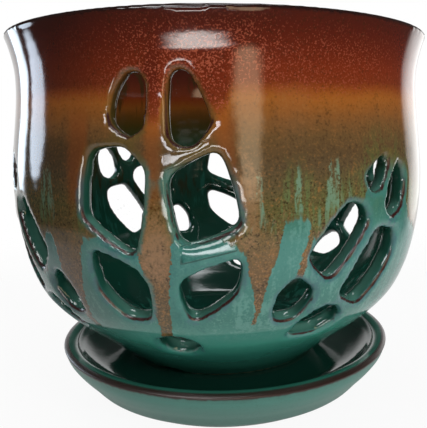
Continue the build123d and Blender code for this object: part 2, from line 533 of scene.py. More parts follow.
def openGroup(name, inputs):
    # an input with no value is a vector
    group = bpy.data.node_groups.new(name, "ShaderNodeTree")
    for label, value in inputs.items():
        kind = "NodeSocketVector" if value is None else "NodeSocketFloat"
        socket = group.interface.new_socket(label, in_out="INPUT", socket_type=kind)
        if value is not None:
            socket.default_value = value
    return group, group.nodes.new("NodeGroupInput").outputs


def closeGroup(group, results):
    for label in results:
        group.interface.new_socket(label, in_out="OUTPUT", socket_type="NodeSocketFloat")
    put = group.nodes.new("NodeGroupOutput").inputs
    for label, value in results.items():
        group.links.new(value, put[label])
    return group


# Values inside the glaze effects. A noise has its detail and its roughness
glazeEffects = {
    "clouds": (3, 0.55),
    "grain": (3, 0.6),
    "runs": (3, 0.6),
    "dots": (1, 0.5),
    "drawnOut": (1, 1, 0.16),
    "speckPatches": 0.4,
    "specks": (0.86, 1.02),
    "waves": {"Scale": 55, "Detail": 1},
    "peel": {"Scale": 520, "Detail": 2},
    "ringWander": 3,
    # how far past its half width and its half length a pressed rib fades out
    "ribFade": (1.25, 1.15),
    # a thin drip widens on its way down; its edge, its tip and its top fade
    "dripWidth": (0.5, 0.7),
    "dripEdge": (1.3, 0.7),
    "dripTip": (-0.9, 0.1),
    "dripTop": (1.5, 0),
}


def makeTurnAndHeight():
    # degrees round from straight ahead, millimetres up, and millimetres out from the axis
    group, given = openGroup("turnAndHeight", {"Position": None})
    x, y, z = addNode(group, "ShaderNodeSeparateXYZ", "x, y and z", {0: given["Position"]}).outputs
    turn = calc("DEGREES", calc("ARCTAN2", x, times(y, -1)))
    out = calc("SQRT", timesPlus(x, x, times(y, y)))
    return closeGroup(group, {"Turn": turn, "Height": times(z, 1 / mm), "Out": times(out, 1 / mm)})


def makeGlazeFlow():
    # how a melted glaze varies: wide clouds, a fine grain, runs down the wall, and tiny bright specks
    group, given = openGroup("glazeFlow", {"Position": None, "Cloud Scale": 30, "Grain Scale": 420, "Run Scale": 260,
                                           "Speck Scale": 1650, "Speck Cover": 0.3})

    def noise(label, vector, scale):
        detail, rough = glazeEffects[label]
        return addNode(group, "ShaderNodeTexNoise", label, {
            "Vector": vector, "Scale": given[scale], "Detail": detail, "Roughness": rough}).outputs["Fac"]

    drawnOut = addNode(group, "ShaderNodeVectorMath", "drawn out downwards",
                       {0: given["Position"], 1: glazeEffects["drawnOut"]}, operation="MULTIPLY").outputs[0]
    # these three vary about zero
    clouds = minus(noise("clouds", given["Position"], "Cloud Scale"), 0.5)
    grain = minus(noise("grain", given["Position"], "Grain Scale"), 0.5)
    runs = minus(noise("runs", drawnOut, "Run Scale"), 0.5)
    dots = noise("dots", given["Position"], "Speck Scale")
    spread = timesPlus(clouds, glazeEffects["speckPatches"], given["Speck Cover"])
    specks = softStep(calc("ADD", dots, spread), *glazeEffects["specks"])
    return closeGroup(group, {"Clouds": clouds, "Grain": grain, "Runs": runs, "Specks": specks})


def makeGlazeSurface():
    # millimetres of lift: slow waves, the throwing rings and a fine orange peel
    group, given = openGroup("glazeSurface", {"Position": None, "Height": 0, "Waves": 0.1, "Rings": 0.02,
                                              "Ring Step": 5, "Peel": 0.01})
    waves, peel = (addNode(group, "ShaderNodeTexNoise", label, {
        "Vector": given["Position"], **glazeEffects[label]}).outputs["Fac"] for label in ("waves", "peel"))
    phase = calc("DIVIDE", timesPlus(waves, glazeEffects["ringWander"], given["Height"]), given["Ring Step"])
    ring = calc("SINE", times(phase, 2 * math.pi))
    lift = timesPlus(ring, given["Rings"], times(waves, given["Waves"]))
    return closeGroup(group, {"Lift": timesPlus(peel, given["Peel"], lift)})


def makePressedRib():
    # millimetres of lift where a rib between two slots was pressed, so that its face looks up
    group, given = openGroup("pressedRib", {"Turn": 0, "Height": 0, "Middle Turn": 0, "Middle Height": 0,
                                            "Half Length": 5, "Half Width": 2.8, "Rise": 0.4, "Tilt": 0.4})
    widthFade, lengthFade = glazeEffects["ribFade"]
    along = minus(given["Turn"], given["Middle Turn"])
    level = timesPlus(along, given["Rise"], given["Middle Height"])
    across = minus(level, given["Height"])
    wide = softStep(calc("ABSOLUTE", across), times(given["Half Width"], widthFade), given["Half Width"])
    long = softStep(calc("ABSOLUTE", along), times(given["Half Length"], lengthFade), given["Half Length"])
    return closeGroup(group, {"Lift": times(times(across, given["Tilt"]), times(wide, long))})


def makeThinDrip():
    # a mask of one thin run of glaze, from its top to a rounded tip
    group, given = openGroup("thinDrip", {"Turn": 0, "Height": 0, "Top Turn": 0, "Top Height": 0, "Tip Turn": 0,
                                          "Tip Height": 0, "Half Width": 0.6})
    share = addNode(group, "ShaderNodeMapRange", "how far down", {
        "Value": given["Height"], "From Min": given["Top Height"], "From Max": given["Tip Height"]}).outputs["Result"]
    middle = timesPlus(share, minus(given["Tip Turn"], given["Top Turn"]), given["Top Turn"])
    far = calc("ABSOLUTE", minus(given["Turn"], middle))
    width = times(given["Half Width"], timesPlus(share, *glazeEffects["dripWidth"]))
    across = softStep(far, *(times(width, fade) for fade in glazeEffects["dripEdge"]))
    below = softStep(minus(given["Height"], given["Tip Height"]), *glazeEffects["dripTip"])
    above = softStep(minus(given["Height"], given["Top Height"]), *glazeEffects["dripTop"])
    return closeGroup(group, {"Mask": times(across, times(below, above))})


glazeGroups = {"turnAndHeight": makeTurnAndHeight(), "glazeFlow": makeGlazeFlow(),
               "glazeSurface": makeGlazeSurface(), "pressedRib": makePressedRib(),
               "thinDrip": makeThinDrip()}


def useGroup(tree, name, inputs):
    return addNode(tree, "ShaderNodeGroup", name, inputs, node_tree=glazeGroups[name]).outputs


def newGlaze(name):
    glaze = bpy.data.materials.new(name)
    glaze.use_nodes = True
    tree = glaze.node_tree
    return glaze, tree, tree.nodes["Principled BSDF"]


def finishGlaze(surface, look, whole, rough, lift):
    # the lift is in millimetres
    tree = surface.id_data
    bump = addNode(tree, "ShaderNodeBump", "glaze relief", {"Height": lift, "Distance": mm, "Strength": 1})
    tree.links.new(whole, surface.inputs["Base Color"])
    tree.links.new(rough, surface.inputs["Roughness"])
    tree.links.new(bump.outputs["Normal"], surface.inputs["Normal"])
    surface.inputs["IOR"].default_value = look["index"]


potGlaze = {
    # colours of the upper glaze and of the drips that it sends down, by height
    "upper": ((45, "5c5030"), (58, "5e4c30"), (70, "705634"), (80, "76603a"), (85, "6a5a34"), (91, "625c34"),
              (97, "645636"), (103, "604e34"), (108, "604a2e"), (113, "6c502e"), (118, "80552c"), (122, "945a26"),
              (125.5, "a25e22"), (128.5, "92481b"), (131, "7c3216"), (136, "782c14"), (142, "662312"), (147, "581e12"),
              (152, "4a1d14")),
    # the teal glaze by height: its lowest stops darken towards the foot, partly as painted shade where the wall turns
    # down towards the saucer
    "teal": ((17, "265a4c"), (24, "2b6958"), (28, "307565"), (32, "357d6d"), (36, "3c8876"), (39.5, "499684"),
             (43, "529485"), (52, "407a6e"), (62, "458074"), (72, "4a887d"), (80, "4e8a7e"), (88, "487a66")),
    "inner": ((15, "0e342b"), (30, "123f34"), (45, "164a3c"), (70, "1b4a3b"), (95, "23483a"), (103, "2a4630"),
              (109, "364226"), (116, "443814"), (122, "5c3a14"), (127, "7a4418"), (132, "702f14"), (142, "501e10"),
              (152, "34140c")),
    "innerBrown": "33290f",
    "innerTeal": "2c7262",
    "cutWall": ((15, "10302a"), (45, "184639"), (60, "1b4a3d"), (98, "1d4a3c"), (108, "2a412c"), (118, "423a18"),
                (135, "4c2c12")),
    # painted light: the slot walls that face up are lighter, as lit from above
    "paintedLitLedge": "56897a",
    "rust": "9c6c3a",
    # the colour of the painted shade on the pot's left side
    "paintedShadeColour": "100c08",
    "darkGrain": "2c2010",
    "paleTeal": "6ea396",
    "deepTeal": "2c6c66",
    "fleck": "76977c",
    "feather": "67784a",
    "green": "585e32",
    "lowHalo": "437f74",
    "highHalo": "70602f",
    "fringe": "4c5c74",
    "edgeOfDrip": "5f5a36",
    "brokenEdge": "3c1a17",
    "redSpeck": "b65c40",
    "tanSpeck": "b98a62",
    "lip": "281510",
    "clay": "8a6b4d",
    "darkClay": "6d5238",
    # how high the teal reaches, round the front and round the back, with the drips between
    "tealTopFront": ((-90, 62), (-72, 64), (-64, 66), (-56, 64), (-50, 64), (-46.5, 70), (-45, 80), (-42.6, 81),
                     (-41.2, 72), (-40, 58), (-38.4, 49), (-37.2, 46), (-36, 50), (-34.6, 61), (-33.4, 70), (-31.5, 79),
                     (-28, 81), (-19.4, 80), (-17.8, 74), (-16.9, 62), (-15.8, 52), (-14.6, 44), (-13.6, 43),
                     (-12.6, 50), (-11.8, 62), (-11, 74), (-9.6, 82), (-2, 82), (3, 79), (4.8, 76), (6, 68), (7.4, 60),
                     (8.3, 53.5), (9.1, 57), (10, 66), (11.4, 73), (12.6, 80), (13.1, 86.5), (17, 87), (19.4, 85),
                     (20.2, 80), (21, 79), (24, 82), (32, 86), (35, 97), (42, 98), (50, 93),
                     (54, 82), (62, 76), (74, 66), (90, 62)),
    "tealTopBack": ((-90, 62), (-76, 66), (-66, 70), (-60, 72), (-57.5, 58), (-55.4, 50), (-53.5, 57), (-51.5, 74),
                    (-44, 84), (-38, 85), (-34, 72), (-31.6, 56), (-30, 50), (-28.6, 58), (-27, 76), (-20, 82),
                    (-15.4, 77), (-14.2, 64), (-13, 52), (-11.8, 45), (-10.6, 53), (-9.4, 70), (-8, 81), (2, 83),
                    (9, 79), (12.4, 70), (14, 57), (15.2, 60), (16.4, 75), (22, 86), (29, 84), (33, 73), (34.4, 67),
                    (35.6, 76), (42, 91), (50, 88), (58, 72), (70, 66), (90, 62)),
    # how high the feathery flecks stand above the teal
    "flecks": ((-90, 80), (-66, 84), (-64, 98), (-62, 84), (-47, 86), (-43.6, 103), (-42, 105), (-40, 96), (-38.5, 84),
               (-30, 80), (2, 80), (6.8, 88), (7.6, 104), (8.2, 105), (9, 88), (14.6, 90), (15.6, 100), (16.3, 105),
               (17, 98), (17.8, 88), (21.8, 90), (23.6, 104), (24.2, 107), (24.8, 99), (25.6, 107.5), (26.4, 100),
               (27.6, 92), (29, 98), (30, 86), (36, 84), (56, 84), (62, 92), (64, 102), (66, 90), (90, 80)),
    # thin runs over the teal: turn and height of the top, of the tip, and half width in degrees
    "thinDrips": ((20.4, 87, 17.5, 66.5, 0.75), (8.5, 60, 7.7, 50, 0.45), (-14.4, 50, -15.6, 42, 1.1),
                  (-37.4, 52, -36.2, 45, 0.7), (151.5, 86, 148.8, 62, 0.7), (-170, 60, -169.3, 49, 0.5),
                  (101, 64, 102.2, 52, 0.8), (-98, 66, -97.2, 50, 0.9), (84, 66, 83.5, 57, 0.7)),
    # round the pot: millimetres that the red top runs down, strength of the warm runs, and share of specks
    "redRuns": ((-90, 0), (-23, 0), (-19, 1), (-16.6, 0), (-15.4, 10), (-13, 10.5), (-11.6, 0), (-4.5, 0),
                (-2.4, 6), (0.5, 6), (3, 0), (60, 0), (90, 0)),
    "warmRuns": ((-90, 0), (-38, 0), (-34, 8), (-30.5, 9), (-28.5, 0), (-17, 0), (-14.6, 7), (-12.6, 5),
                 (-10.8, 0), (-2, 0), (1, 8), (3, 5), (5, 0), (90, 0)),
    "warmRun": "9a4f1e",
    "speckShare": ((-90, 2), (-40, 2), (-30, 3), (-18, 10), (2, 12), (14, 8), (40, 5), (90, 3)),
    # pale tan places in the upper glaze, partly tan glaze and partly a painted sheen of a light's reflection: middle
    # turn and height, half width in degrees, half height
    "tanAndSheenPlaces": ((-14.2, 78, 4.2, 13), (5.4, 92, 3.2, 15), (166, 82, 4.2, 13)),
    "tanAndSheen": "a67c58",
    # painted shade: a share of darkness round the pot, darkest on its left side, where less light falls
    "paintedShade": ((-90, 3), (-60, 4), (-42, 5), (-34, 4), (-24, 1.4), (-14, 0), (60, 0), (90, 2)),
    # ribs that were pressed: middle turn and height, half length in degrees, half width, rise per degree, tilt
    "pressedRibs": ((-2.6, 78.2, 5.4, 2.6, 0.38, 0.46), (-7.0, 107.8, 4.6, 2.2, 0.5, 0.15),
                    (178.4, 82.5, 5.2, 2.6, 0.38, 0.45)),
    # what the top of each drawn curve stands for
    "curveTop": {"tealTopFront": 120, "tealTopBack": 120, "flecks": 120, "redRuns": 12, "warmRuns": 10,
                 "speckShare": 12, "paintedShade": 10},
    # how far noise pushes each thing about: degrees for the turn, millimetres for heights, shares for masks
    "wander": {
        "turn": {"clouds": 1.2, "grain": 1.6, "fineGrain": 1},
        "tealTop": {"grain": 3, "fineRuns": 6},
        "level": {"clouds": 6, "runs": 2.5, "grain": 3},
        "green": {"grain": 0.8, "fineGrain": 0.6},
        "mottle": {"runs": 0.35, "grain": 0.35},
        "tanAndSheen": {"fineGrain": -2.2, "grain": -2.2},
        "fleckTop": {"grain": 6},
        "fleckFoot": {"fineRuns": 40},
        "feather": {"fineGrain": 0.7},
        "tealLevel": {"runs": 4, "clouds": 7},
        "paleTeal": {"clouds": 1, "fineRuns": 0.8, "fineGrain": 0.9},
        "deepTeal": {"runs": 0.7, "fineGrain": 0.6},
        "gathered": {"clouds": 3, "grain": 1.5},
        "lowHalo": {"clouds": 16},
        "fringe": {"grain": 1},
        "lip": {"grain": 2},
        "innerRuns": {"clouds": 0.8},
        "broken": {"clouds": 1.4, "grain": 1.2},
    },
    # where each thing begins, and where it is full: millimetres for heights, depths and distances, or shares
    "reach": {
        "greenAbove": (24, 3), "greenFoot": (76, 86), "greenNoise": (-0.1, 0.06),
        "redRunTop": (144, 128), "redRunFoot": (106, 120), "warmRunTop": (128, 116), "warmRunFoot": (84, 96),
        "dripGrain": (108, 94), "rust": (0.02, 0.22), "rustTop": (134, 124), "dark": (-0.02, -0.24),
        "speckTop": (154, 140), "redSpeckFoot": (122, 131), "tanSpeckTop": (104, 74), "tanAndSheen": (1.4, -0.2),
        "fleckTop": (-1.5, 4), "fleckFoot": (86, 98), "feather": (-0.1, 0.12), "featherAbove": (20, 5),
        "featherFoot": (80, 88), "featherTop": (107, 99), "paleTeal": (0.02, 0.34), "deepTeal": (-0.02, -0.26),
        "runsFoot": (38, 50), "teal": (0.5, -0.7), "dripEdgeTop": (1.8, 0.4), "dripEdgeFoot": (-1, 0.4),
        "halo": (2.4, 0.9), "haloFoot": (30, 44), "lowHalo": (108, 98), "fringe": (2.8, 1.4),
        "fringeNoise": (-0.1, 0.15), "paintedShadeGapFoot": (110, 118), "paintedShadeGapTop": (131, 126), "lip": (151, 152.4),
        "cutDepth": (0.9, 2.2), "cutNear": (2.4, 0.9), "ledgeFacing": (0.25, 0.85), "ledgeTop": (112, 98),
        "innerDepth": (4.6, 6), "brownFoot": (62, 84), "brownRuns": (0.02, 0.16), "tealRuns": (-0.06, -0.2),
        "innerTealTop": (112, 96), "brokenOut": (0.35, 0.65), "brokenIn": (1.7, 1), "brokenNear": (2, 1),
        "brokenFacing": (-0.12, 0.2), "brokenNoise": (-0.5, -0.05), "footTop": (16.2, 15.7),
        "underTop": (18.2, 17.7), "underOut": (39, 38),
    },
    # how strong each thing is where it is full
    "strength": {
        "green": 0.85, "rust": 0.9, "warmRun": 0.06, "redSpeck": 0.07, "tanSpeck": 0.5, "tanAndSheen": 0.6,
        "feather": 0.8, "fleck": 0.8, "paleTeal": 0.55, "deepTeal": 0.6, "edgeOfDrip": 0.6, "fringe": 0.4,
        "paintedShadeColour": 0.1, "paintedLitLedge": 0.7, "innerBrown": 0.75, "innerTeal": 0.6,
    },
    # how much stronger the grain is in the drips, and how strong above them
    "grainStrength": (0.46, 0.42),
    # how much stronger a halo is low on the pot, and how strong above
    "haloStrength": (0.25, 0.45),
    # how much of the painted shade the orange band leaves out
    "paintedShadeGap": -0.6,
    # the relief, in millimetres
    "lift": {"Waves": 0.25, "Rings": 0.012, "Ring Step": 5.5, "Peel": 0.012},
    "tealLift": -0.07,
    "speckLift": 0.002,
    "roughness": 0.07,
    "grainRoughness": 0.12,
    "brokenRoughness": 0.2,
    "bareRoughness": 0.6,
    "index": 1.52,
    "speckCover": 0.3,
    "fineFlow": {"Run Scale": 640, "Grain Scale": 1150},
}


def pushed(spot, start, name):
    # one of the readings, pushed about by noise
    value = spot[start]
    for noise, amount in potGlaze["wander"][name].items():
        value = timesPlus(spot[noise], amount, value)
    return value


def reach(value, name):
    # 0 where the named thing has not begun, and 1 where it is full
    return softStep(value, *potGlaze["reach"][name])


def drawn(name, turn):
    return drawnCurve(name, turn, potGlaze[name], potGlaze["curveTop"][name])


def paint(under, name, mask, over=None):
    # lays the named colour, or another glaze, over what is there, at its own strength
    if name in potGlaze["strength"]:
        mask = times(mask, potGlaze["strength"][name])
    return blendColour(name, mask, under, over or potGlaze[name])


def readPot(tree):
    # what the glaze goes by at each place on the pot
    place = addNode(tree, "ShaderNodeTexCoord", "place on the pot").outputs
    where = useGroup(tree, "turnAndHeight", {"Position": place["Object"]})
    flow = useGroup(tree, "glazeFlow", {"Position": place["Object"], "Speck Cover": potGlaze["speckCover"]})
    fine = useGroup(tree, "glazeFlow", {"Position": place["Object"], **potGlaze["fineFlow"]})
    spot = {
        "position": place["Object"], "turn": where["Turn"], "height": where["Height"], "out": where["Out"],
        "clouds": flow["Clouds"], "grain": flow["Grain"], "runs": flow["Runs"], "specks": flow["Specks"],
        "fineRuns": fine["Runs"], "fineGrain": fine["Grain"],
        "facingUp": addNode(tree, "ShaderNodeSeparateXYZ", "facing", {0: place["Normal"]}).outputs["Z"],
    }
    for name in ("nearCut", "depth"):
        spot[name] = addNode(tree, "ShaderNodeAttribute", name, attribute_name=name).outputs["Fac"]

    # the drawn line of the teal, front and back
    spot["wobble"] = pushed(spot, "turn", "turn")
    backTurn = minus(calc("FLOORED_MODULO", spot["wobble"], 360), 180)
    isBack = calc("GREATER_THAN", calc("ABSOLUTE", spot["turn"]), 90)
    spot["sideTurn"] = blendValue("front or back turn", isBack, spot["wobble"], backTurn)
    spot["tealTop"] = blendValue("front or back", isBack, drawn("tealTopFront", spot["wobble"]),
                                 drawn("tealTopBack", backTurn))
    spot["above"] = minus(spot["height"], pushed(spot, "tealTop", "tealTop"))

    # the height that picks the glaze's colour: it is pushed about, and the red top runs down in places
    redRun = times(drawn("redRuns", spot["sideTurn"]), reach(spot["height"], "redRunTop"))
    spot["level"] = timesPlus(redRun, reach(spot["height"], "redRunFoot"), pushed(spot, "height", "level"))
    return spot


def upperGlaze(spot):
    # green towards the teal, with rust and dark grain that is stronger in the drips, and tan and red specks
    height, above, level, specks = spot["height"], spot["above"], spot["level"], spot["specks"]
    upper = heightColours("upper glaze", level, potGlaze["upper"])
    green = times(reach(above, "greenAbove"), reach(height, "greenFoot"))
    upper = paint(upper, "green", times(green, reach(pushed(spot, "fineRuns", "green"), "greenNoise")))
    drip = timesPlus(reach(level, "dripGrain"), *potGlaze["grainStrength"])
    mottle = pushed(spot, "fineGrain", "mottle")
    upper = paint(upper, "rust", times(reach(mottle, "rust"), reach(level, "rustTop"), drip))
    upper = paint(upper, "darkGrain", times(reach(mottle, "dark"), drip))
    warm = times(reach(height, "warmRunTop"), reach(height, "warmRunFoot"))
    upper = paint(upper, "warmRun", times(drawn("warmRuns", spot["sideTurn"]), warm))
    speckShare = times(drawn("speckShare", spot["sideTurn"]), reach(height, "speckTop"))
    upper = paint(upper, "redSpeck", times(specks, reach(level, "redSpeckFoot"), speckShare))
    upper = paint(upper, "tanSpeck", times(specks, reach(level, "tanSpeckTop")))

    # paler tan patches, partly tan glaze and partly a painted sheen where a light's reflection runs down the wall
    for middleTurn, middleHeight, halfWidth, halfHeight in potGlaze["tanAndSheenPlaces"]:
        across = calc("DIVIDE", minus(spot["wobble"], middleTurn), halfWidth)
        along = calc("DIVIDE", minus(height, middleHeight), halfHeight)
        spot["tanAndSheen"] = timesPlus(across, across, times(along, along))
        upper = paint(upper, "tanAndSheen", reach(pushed(spot, "tanAndSheen", "tanAndSheen"), "tanAndSheen"))
    return upper


def tealGlaze(spot, upper):
    # feathery flecks stand above the teal, thin runs cross it, and a thin olive line ends the drips
    height, above = spot["height"], spot["above"]
    feathery = reach(pushed(spot, "fineRuns", "feather"), "feather")
    feather = times(reach(height, "featherFoot"), reach(height, "featherTop"))
    outer = paint(upper, "feather", times(feathery, reach(above, "featherAbove"), feather))
    spot["fleckTop"] = drawn("flecks", spot["sideTurn"])
    fleck = times(reach(minus(pushed(spot, "fleckTop", "fleckTop"), height), "fleckTop"),
                  reach(pushed(spot, "height", "fleckFoot"), "fleckFoot"))
    outer = paint(outer, "fleck", times(fleck, feathery))
    teal = heightColours("teal glaze", pushed(spot, "height", "tealLevel"), potGlaze["teal"])
    fade = reach(height, "runsFoot")
    teal = paint(teal, "paleTeal", times(reach(pushed(spot, "runs", "paleTeal"), "paleTeal"), fade))
    teal = paint(teal, "deepTeal", times(reach(pushed(spot, "clouds", "deepTeal"), "deepTeal"), fade))
    tealShare = reach(above, "teal")
    for topTurn, topHeight, tipTurn, tipHeight, halfWidth in potGlaze["thinDrips"]:
        run = useGroup(above.id_data, "thinDrip", {
            "Turn": spot["wobble"], "Height": height, "Top Turn": topTurn, "Top Height": topHeight,
            "Tip Turn": tipTurn, "Tip Height": tipHeight, "Half Width": halfWidth})["Mask"]
        tealShare = times(tealShare, minus(1, run))
    outer = paint(outer, "teal", tealShare, teal)
    return paint(outer, "edgeOfDrip", times(reach(above, "dripEdgeTop"), reach(above, "dripEdgeFoot"))), tealShare


def slotHalo(spot, outer):
    # glaze gathers round each slot, and is another colour there
    gathered = pushed(spot, "nearCut", "gathered")
    lowHalo = reach(pushed(spot, "height", "lowHalo"), "lowHalo")
    halo = times(reach(gathered, "halo"), reach(spot["height"], "haloFoot"),
                 timesPlus(lowHalo, *potGlaze["haloStrength"]))
    outer = paint(outer, "halo", halo, blendColour("low or high", lowHalo, potGlaze["highHalo"], potGlaze["lowHalo"]))
    noise = reach(pushed(spot, "clouds", "fringe"), "fringeNoise")
    return paint(outer, "fringe", times(reach(gathered, "fringe"), noise, lowHalo))


def paintedShadeAndLip(spot, outer):
    # the painted shade on the left side leaves a gap in the orange band
    gap = times(reach(spot["height"], "paintedShadeGapFoot"), reach(spot["height"], "paintedShadeGapTop"))
    paintedShade = times(drawn("paintedShade", spot["sideTurn"]), timesPlus(gap, potGlaze["paintedShadeGap"], 1))
    outer = paint(outer, "paintedShadeColour", paintedShade)
    return paint(outer, "lip", reach(pushed(spot, "height", "lip"), "lip"))


def slotWalls(spot, outer):
    walls = heightColours("slot walls", spot["level"], potGlaze["cutWall"])
    # painted light: slot walls that face up are painted lighter, as lit from above
    walls = paint(walls, "paintedLitLedge", times(reach(spot["facingUp"], "ledgeFacing"), reach(spot["height"], "ledgeTop")))
    return paint(outer, "cutWall", times(reach(spot["depth"], "cutDepth"), reach(spot["nearCut"], "cutNear")), walls)


def insideGlaze(spot, outer):
    inner = heightColours("inside", spot["level"], potGlaze["inner"])
    runs = pushed(spot, "runs", "innerRuns")
    inner = paint(inner, "innerBrown", times(reach(runs, "brownRuns"), reach(spot["height"], "brownFoot")))
    inner = paint(inner, "innerTeal", times(reach(runs, "tealRuns"), reach(spot["height"], "innerTealTop")))
    return paint(outer, "inner", reach(spot["depth"], "innerDepth"), inner)


def makePotGlaze():
    look = potGlaze
    glaze, tree, surface = newGlaze("runningGlaze")
    spot = readPot(tree)
    outer, tealShare = tealGlaze(spot, upperGlaze(spot))
    outer = paintedShadeAndLip(spot, slotHalo(spot, outer))
    whole = insideGlaze(spot, slotWalls(spot, outer))

    # the glaze broke away from the lower edges of the slots
    broken = times(reach(spot["depth"], "brokenOut"), reach(spot["depth"], "brokenIn"),
                   reach(spot["nearCut"], "brokenNear"), reach(spot["facingUp"], "brokenFacing"),
                   reach(pushed(spot, "clouds", "broken"), "brokenNoise"))
    whole = paint(whole, "brokenEdge", broken)

    # the foot and the underside are bare clay
    height, grain = spot["height"], spot["grain"]
    bare = calc("MAXIMUM", reach(height, "footTop"), times(reach(height, "underTop"), reach(spot["out"], "underOut")))
    clay = blendColour("clay", calc("ADD", grain, 0.5), look["clay"], look["darkClay"])
    whole = paint(whole, "bareFoot", bare, clay)

    rough = timesPlus(calc("ABSOLUTE", grain), look["grainRoughness"], look["roughness"])
    rough = timesPlus(broken, look["brokenRoughness"], timesPlus(bare, look["bareRoughness"], rough))
    lift = useGroup(tree, "glazeSurface", {"Position": spot["position"], "Height": height, **look["lift"]})["Lift"]
    lift = timesPlus(tealShare, look["tealLift"], lift)
    lift = timesPlus(spot["specks"], look["speckLift"], lift)
    for middleTurn, middleHeight, halfLength, halfWidth, rise, tilt in look["pressedRibs"]:
        pressed = useGroup(tree, "pressedRib", {
            "Turn": spot["turn"], "Height": height, "Middle Turn": middleTurn, "Middle Height": middleHeight,
            "Half Length": halfLength, "Half Width": halfWidth, "Rise": rise, "Tilt": tilt})["Lift"]
        lift = calc("ADD", lift, pressed)
    finishGlaze(surface, look, whole, rough, lift)
    return glaze


pot = makePot()
pot.data.materials.append(makePotGlaze())
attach(pot, "pot")
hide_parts("pot")
print("pot: done,", len(pot.data.polygons), "faces")


saucerForm = {
    "section": ((0, 8), (25, 8), (44, 8), (46.6, 7.8), (47.4, 7.0), (49.6, 1.0), (50.4, 0.2), (51.2, 0), (54, 0),
                (56.0, 0), (57.2, 0.25), (58.1, 0.9), (59.4, 1.7), (61.2, 2.75), (63.28, 4.12), (66.78, 8.24),
                (70.45, 12.36), (73.43, 16.48), (74.6, 19.4), (75, 20.6), (74.7, 21.2), (73.6, 21.8), (72, 22),
                (70.4, 21.8), (69.3, 21.2), (69, 20.6), (68.3, 19.9), (67.1, 19.1), (65.4, 17.9), (62.6, 16.5),
                (59, 15.5), (54.5, 15), (40, 15), (20, 15), (0, 15)),
    "steps": 256,
    "centreX": 2,
}


def makeSaucer():
    line = smoothLine(saucerForm["section"], 3)
    section = [(0 if i in (0, len(line) - 1) else max(p.x, 0), p.y) for i, p in enumerate(line)]
    saucer = spunForm("glazedSaucer", section, saucerForm["steps"], saucerForm["centreX"] * mm, True)
    selectOnly(saucer)
    bpy.ops.object.shade_smooth()
    return saucer


saucerGlaze = {
    "outside": ((0, "316054"), (4, "3e7064"), (10, "457a6d"), (18, "4a8074"), (22, "3c6c60")),
    # the inside by height: dark green glaze, lighter towards the rim partly as a painted highlight along the inner rim
    "inside": ((14.5, "143e33"), (17, "18493c"), (19.5, "225a4c"), (21.5, "347464")),
    "rim": "33201a",
    "clay": "8a6b4d",
    "speck": "2a5046",
    "speckCover": 0.26,
    "speckStrength": 0.35,
    # how many millimetres noise pushes the outside's, the inside's and the rim's heights about
    "outsideWander": {"Grain": 2, "Clouds": 3},
    "insideWander": {"Clouds": 1.5},
    "rimWander": {"Grain": 1.5},
    # the inside begins within the rim, where the face looks up
    "insideOut": (73.6, 72.6),
    "insideFacing": (-0.1, 0.1),
    "rimHeight": (19.6, 20.6),
    "rimOut": (72.4, 73.6),
    # bare clay lies low and looks down: the share of its facing, and where it begins
    "bareFacing": 2,
    "bare": (-0.9, -1.6),
    # outside, inside, and what grain and bare clay add
    "satin": 0.32,
    "gloss": 0.07,
    "grainRoughness": 0.2,
    "bareRoughness": 0.4,
    "lift": {"Waves": 0.12, "Rings": 0.008, "Ring Step": 4, "Peel": 0.02},
    "index": 1.52,
}


def makeSaucerGlaze():
    look = saucerGlaze
    glaze, tree, surface = newGlaze("saucerGlaze")
    place = addNode(tree, "ShaderNodeTexCoord", "place on the saucer").outputs
    centred = addNode(tree, "ShaderNodeMapping", "centred", {
        "Vector": place["Object"], "Location": (-saucerForm["centreX"] * mm, 0, 0)}).outputs[0]
    where = useGroup(tree, "turnAndHeight", {"Position": centred})
    height, out = where["Height"], where["Out"]
    flow = useGroup(tree, "glazeFlow", {"Position": centred, "Speck Cover": look["speckCover"]})
    facingUp = addNode(tree, "ShaderNodeSeparateXYZ", "facing", {0: place["Normal"]}).outputs["Z"]

    def wandering(name):
        value = height
        for noise, amount in look[name].items():
            value = timesPlus(flow[noise], amount, value)
        return value

    outside = heightColours("outside", wandering("outsideWander"), look["outside"])
    outside = blendColour("specks", times(flow["Specks"], look["speckStrength"]), outside, look["speck"])
    inside = heightColours("inside", wandering("insideWander"), look["inside"])
    isInside = times(softStep(out, *look["insideOut"]), softStep(facingUp, *look["insideFacing"]))
    whole = blendColour("inside", isInside, outside, inside)
    rim = times(softStep(wandering("rimWander"), *look["rimHeight"]), softStep(out, *look["rimOut"]))
    whole = blendColour("rim", rim, whole, look["rim"])
    bare = softStep(timesPlus(facingUp, look["bareFacing"], height), *look["bare"])
    whole = blendColour("bare foot", bare, whole, look["clay"])

    rough = blendValue("satin outside", isInside, look["satin"], look["gloss"])
    rough = timesPlus(calc("ABSOLUTE", flow["Grain"]), look["grainRoughness"], rough)
    rough = timesPlus(bare, look["bareRoughness"], rough)
    lift = useGroup(tree, "glazeSurface", {"Position": centred, "Height": height, **look["lift"]})["Lift"]
    finishGlaze(surface, look, whole, rough, lift)
    return glaze


saucer = makeSaucer()
saucer.data.materials.append(makeSaucerGlaze())
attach(saucer, "saucer")
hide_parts("saucer")
print("saucer: done,", len(saucer.data.polygons), "faces")


